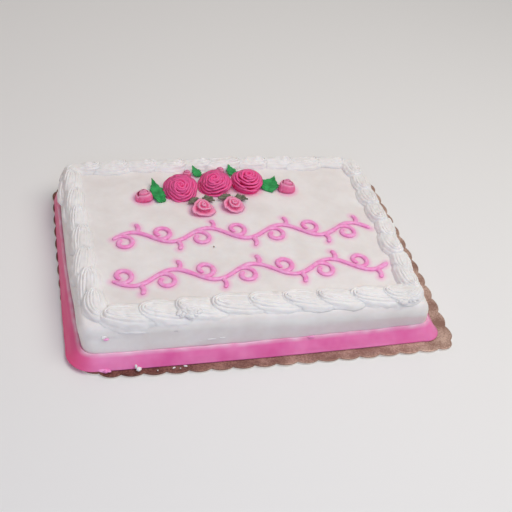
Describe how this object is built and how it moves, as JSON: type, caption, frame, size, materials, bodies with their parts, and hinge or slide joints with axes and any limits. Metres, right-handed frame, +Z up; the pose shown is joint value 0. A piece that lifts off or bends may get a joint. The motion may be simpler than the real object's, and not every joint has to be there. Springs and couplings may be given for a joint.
{
  "type": "sheet cake",
  "caption": "Rectangular white-iced sheet cake on a scalloped board, with a piped shell border, a pink band round its foot, pink roses, green leaves and piped scrollwork.",
  "frame": {"origin": "middle of the cake board's underside, on the surface it rests on", "axes": "+X along the long side, +Y from the front towards the roses at the back, +Z up"},
  "size_m": [0.4562, 0.3552, 0.0765],
  "materials": {
    "board": "satin",
    "white_icing": "satin",
    "band_icing": "satin",
    "rose_icing": "satin",
    "bud_icing": "satin",
    "leaf_icing": "satin",
    "dark_leaf_icing": "satin",
    "scroll_icing": "satin"
  },
  "bodies": {
    "root": {"cake_board": "board", "cake": "white_icing", "pink_band": "band_icing", "shell_border_front": "white_icing", "shell_border_right": "white_icing", "shell_border_back": "white_icing", "shell_border_left": "white_icing", "rose_left": "rose_icing", "rose_middle": "rose_icing", "rose_right": "rose_icing", "bud_left": "bud_icing", "bud_right": "bud_icing", "bud_front_left": "bud_icing", "bud_front_right": "bud_icing", "bud_back_left": "bud_icing", "bud_back_right": "bud_icing", "leaf_left": "leaf_icing", "leaf_right": "leaf_icing", "leaf_back_left": "leaf_icing", "leaf_back_right": "leaf_icing", "leaf_dark_1": "dark_leaf_icing", "leaf_dark_2": "dark_leaf_icing", "leaf_dark_3": "dark_leaf_icing", "leaf_dark_4": "dark_leaf_icing", "scroll_upper": "scroll_icing", "scroll_lower": "scroll_icing"}
  },
  "joints": []
}
